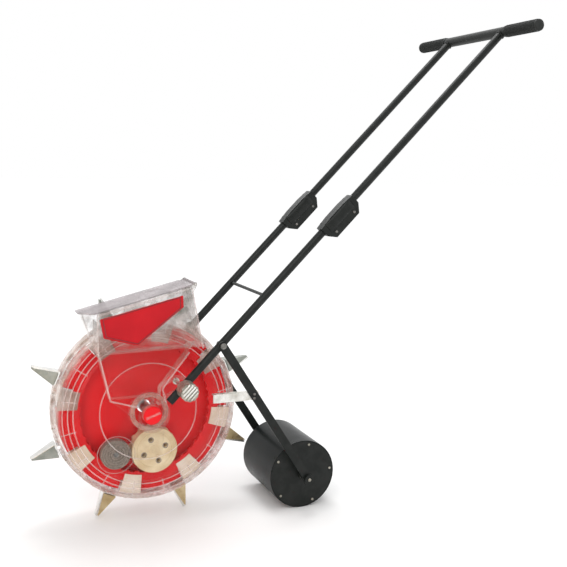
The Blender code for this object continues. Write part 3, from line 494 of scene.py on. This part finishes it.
def sideLine(corners, y, count):
    # points spread along straight runs between (x, z) corners from the axle, at one y
    corners = np.array(corners)
    steps = np.linspace(0, len(corners) - 1, count)
    x, z = (np.interp(steps, np.arange(len(corners)), corners[:, k]) for k in (0, 1))
    return np.stack([axle[0] + x, np.full(count, y), axle[2] + z], -1)


topLeft = np.array(hopperTrim["topLeft"])
topRight = np.array(hopperTrim["topRight"])
upZ = np.array([0, 0, 1.0])
lip = []
for y in hopperTrim["lipPlaces"]:
    path = sideLine([topLeft, topRight + hopperTrim["lipShort"]], y, 12) - hopperTrim["lipDrop"] * upZ
    lip.append(pipe(path, hopperTrim["lipRadius"], acrossY, False, 10))
for corner, run in ((topLeft, hopperTrim["frontRun"]), (topRight, hopperTrim["rearRun"])):
    path = sideLine([corner, corner + run], hopperTrim["ribPlace"], 8) - hopperTrim["ribDrop"] * upZ
    lip.append(pipe(path, hopperTrim["ribRadius"], acrossY, False, 10))
for bend in (hopperTrim["chuteFront"], hopperTrim["chuteRear"]):
    path = sideLine(bend, hopperTrim["chutePlace"], 21)
    lip.append(pipe(path, hopperTrim["ribRadius"], acrossY, False, 10))
buildPiece("hopperRibs", lip, "frame", "clearRib")

# hub: a ring round the cap, and a bar across it
hubTrim = {"ringReach": 0.031, "ringProud": 0.0015, "barHalf": 0.017, "barProud": 0.0012,
           "barRun": (0.94, 0, 0.34), "radius": 0.0026}
capFace = np.array([axle[0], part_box("hub_cap")[0][1], axle[2]])
ring = circlePath(capFace - hubTrim["ringProud"] * acrossY, hubTrim["ringReach"], 64)
buildPiece("hubRing", [pipe(ring, hubTrim["radius"], acrossY, True)], "frame", "hopperClear")
bar = capFace - hubTrim["barProud"] * acrossY
bar = bar + np.linspace(-hubTrim["barHalf"], hubTrim["barHalf"], 9)[:, None] * np.array(hubTrim["barRun"])
buildPiece("hubBar", [pipe(bar, hubTrim["radius"], acrossY)], "frame", "clearRib")

# label panel: the face stays bare, with a darker line just inside its edge, painted shade along the panel's edges
panelTrim = {"corners": [(-0.125, 0.231), (-0.117, 0.190), (-0.043, 0.170), (0.060, 0.251), (0.059, 0.277)],
             "inside": 0.93, "radius": 0.0011}
corners = np.array(panelTrim["corners"])
corners = corners.mean(0) + (corners - corners.mean(0)) * panelTrim["inside"]
edgeShadeLine = sideLine([*corners, corners[0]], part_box("label_panel")[0][1], 12 * len(corners) + 1)[:-1]
buildPiece("panelEdgeShade", [pipe(edgeShadeLine, panelTrim["radius"], acrossY, True, 8)], "frame", "panelEdgeShade")

# hand knobs: serrated outer faces, each ridge as long as its chord of the face
knobTrim = {"ridges": 5, "apart": 0.0066, "radius": 0.0023, "margin": 0.0035, "lift": 0.0014}
offsets = (np.arange(knobTrim["ridges"]) - (knobTrim["ridges"] - 1) / 2) * knobTrim["apart"]
for label, body, side in (("left", "knob_l", -1), ("right", "knob_r", 1)):
    low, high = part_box("knob_" + label)
    face = middle("knob_" + label)
    face[1] = low[1] - knobTrim["lift"] if side < 0 else high[1] + knobTrim["lift"]
    faceRadius = span("knob_" + label)[0] / 2 - knobTrim["margin"]
    bars = []
    for offset in offsets:
        half = np.sqrt(faceRadius ** 2 - offset ** 2)
        path = face + offset * tubeUp + np.linspace(-half, half, 9)[:, None] * tubeRun
        bars.append(pipe(path, knobTrim["radius"], acrossY))
    buildPiece("knobBars_" + label, bars, body, "zincPlate")

# scraper bolts on the left arm
scraperTrim = {"inset": 0.012, "rises": (-0.005, 0.005), "radius": 0.0032, "height": 0.0022}
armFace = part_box("roller_arm_left")[0][1]
pins = []
for rise in scraperTrim["rises"]:
    spot = np.array([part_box("scraper")[1][0] - scraperTrim["inset"], armFace, middle("scraper")[2] + rise])
    pins.append(screwHead(spot, -acrossY, scraperTrim["radius"], scraperTrim["height"]))
buildPiece("scraperBolts", pins, "frame", "darkScrew")


def nearFace(node):
    centre = middle(node)
    centre[1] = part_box(node)[0][1]
    return centre


# metering roller: turned rings on its near face, and a lip round each seed hole
meterTrim = {"rings": (0.012, 0.041, 0.0525), "ringRadius": 0.0009, "holeCircle": 0.027,
             "holeTurns": np.radians(20) + np.arange(4) * np.pi / 2,
             "lipInner": 0.0046, "lipOuter": 0.0068, "lipSunk": 0.0005, "lipProud": 0.0003}
face = nearFace("metering_roller")
meterRings = [pipe(circlePath(face, reach, 64), meterTrim["ringRadius"], acrossY, True, 8)
              for reach in meterTrim["rings"]]
buildPiece("meterRings", meterRings, "metering", "creamMoulding")
inner, outer = meterTrim["lipInner"], meterTrim["lipOuter"]
sunk, proud = -meterTrim["lipSunk"], meterTrim["lipProud"]
lipProfile = [(inner, sunk), (outer, sunk), (outer, proud), (inner, proud), (inner, sunk)]
cups = [turned(lipProfile, face + meterTrim["holeCircle"] * spoke(a), -acrossY, 24)
        for a in meterTrim["holeTurns"]]
buildPiece("meterCups", cups, "metering", "brushFibre", smooth=False)

# brush roller: rings of tufts, and the clear housing's edge round it
brushTrim = {"tufts": (0.012, 0.018, 0.024, 0.030), "tuftRadius": 0.0011, "housingReach": 0.0435,
             "housingProud": 0.0004, "housingRadius": 0.0008}
face = nearFace("brush_roller")
tufts = [pipe(circlePath(face, reach, 72), brushTrim["tuftRadius"], acrossY, True, 6)
         for reach in brushTrim["tufts"]]
housing = circlePath(face - brushTrim["housingProud"] * acrossY, brushTrim["housingReach"], 72)
buildPiece("brushHousing", [pipe(housing, brushTrim["housingRadius"], acrossY, True, 8)], "frame", "clearRib")
buildPiece("brushTufts", tufts, "brush", "brushFibre")
print("hopper trim done")

# studio: white floor and world for the camera, soft lamps on the object
floorMesh = bpy.data.meshes.new("floor")
floorMesh.from_pydata([(-30, -30, 0), (30, -30, 0), (30, 30, 0), (-30, 30, 0)], [], [(0, 1, 2, 3)])
floor = bpy.data.objects.new("floor", floorMesh)
floor.location.z = -0.0005
bpy.context.scene.collection.objects.link(floor)


def seenWhite(tree, seen, unseen):
    # strength seen by the camera and in reflections, and the one that lights the object
    rays = tree.nodes.new("ShaderNodeLightPath")
    total = rays.outputs["Is Camera Ray"]
    for kind in ("Is Glossy Ray", "Is Transmission Ray"):
        total = joinMath(tree, "MAXIMUM", total, rays.outputs[kind])
    level = tree.nodes.new("ShaderNodeMapRange")
    level.inputs["To Min"].default_value = unseen
    level.inputs["To Max"].default_value = seen
    tree.links.new(total, level.inputs["Value"])
    return level.outputs["Result"]


# the floor's own glow rises with the distance from the object, so the far floor is white and the floor near the
# object is darker: painted shade round the object
floorGlow = {"From Min": 0.5, "From Max": 2.6, "To Min": 0.04, "To Max": 0.36}
floorSkin = bpy.data.materials.new("paleFloor")
floorSkin.use_nodes = True
floorTree = floorSkin.node_tree
floorShader = floorTree.nodes["Principled BSDF"]
floorShader.inputs["Base Color"].default_value = (0.92, 0.92, 0.92, 1)
floorShader.inputs["Roughness"].default_value = 0.9
floorShader.inputs["Specular IOR Level"].default_value = 0.0
floorShader.inputs["Emission Color"].default_value = (1, 1, 1, 1)
away = floorTree.nodes.new("ShaderNodeVectorMath")
away.operation = "LENGTH"
floorTree.links.new(floorTree.nodes.new("ShaderNodeTexCoord").outputs["Object"], away.inputs[0])
rise = floorTree.nodes.new("ShaderNodeMapRange")
for key, value in floorGlow.items():
    rise.inputs[key].default_value = value
floorTree.links.new(away.outputs["Value"], rise.inputs["Value"])
glow = joinMath(floorTree, "MULTIPLY", rise.outputs["Result"], seenWhite(floorTree, 1.0, 0.0))
floorTree.links.new(glow, floorShader.inputs["Emission Strength"])
floorMesh.materials.append(floorSkin)
world = bpy.data.worlds.new("studio")
bpy.context.scene.world = world
world.use_nodes = True
sky = world.node_tree.nodes["Background"]
sky.inputs["Color"].default_value = (1, 1, 1, 1)
world.node_tree.links.new(seenWhite(world.node_tree, 1.0, 0.72), sky.inputs["Strength"])
lamps = {"key": dict(at=(-1.6, -2.6, 3.0), size=2.2, watts=34),
         "fill": dict(at=(2.4, -2.0, 1.8), size=2.0, watts=8),
         "back": dict(at=(0.6, 2.6, 2.6), size=2.0, watts=14),
         "top": dict(at=(0.1, 0.5, 3.0), size=1.2, watts=30),
         "warm": dict(at=(-1.5, -1.3, 0.25), size=0.7, watts=5, tint=(1.0, 0.66, 0.34))}
for name, values in lamps.items():
    light = bpy.data.lights.new(name, "AREA")
    light.size = values["size"]
    light.energy = values["watts"]
    light.color = values.get("tint", (1, 1, 1))
    lamp = bpy.data.objects.new(name, light)
    lamp.location = values["at"]
    lamp.rotation_euler = (Vector((0, 0, 0.4)) - lamp.location).to_track_quat("-Z", "Y").to_euler()
    bpy.context.scene.collection.objects.link(lamp)
bpy.context.scene.view_settings.view_transform = "Standard"
bpy.context.scene.cycles.transparent_max_bounces = 40  # the clear walls stand many layers deep

# camera: placed from the drum axle, its axes as fitted to the photograph's view
photoView = {"fromAxle": (-0.493, -1.9361, 0.5762), "right": (0.9189, -0.3938, 0.0263),
             "forward": (0.3935, 0.9089, -0.1389), "lens": 55.24}
camera = bpy.data.objects.new("camera", bpy.data.cameras.new("camera"))
right = Vector(photoView["right"]).normalized()
back = -Vector(photoView["forward"]).normalized()
up = back.cross(right).normalized()
turnMatrix = Matrix((right, up, back)).transposed().to_4x4()
origin = Vector((axle[0], 0, axle[2])) + Vector(photoView["fromAxle"])
camera.matrix_world = Matrix.Translation(origin) @ turnMatrix
camera.data.lens = photoView["lens"]
camera.data.sensor_width = 36
bpy.context.scene.collection.objects.link(camera)
bpy.context.scene.camera = camera
print("scene ready")
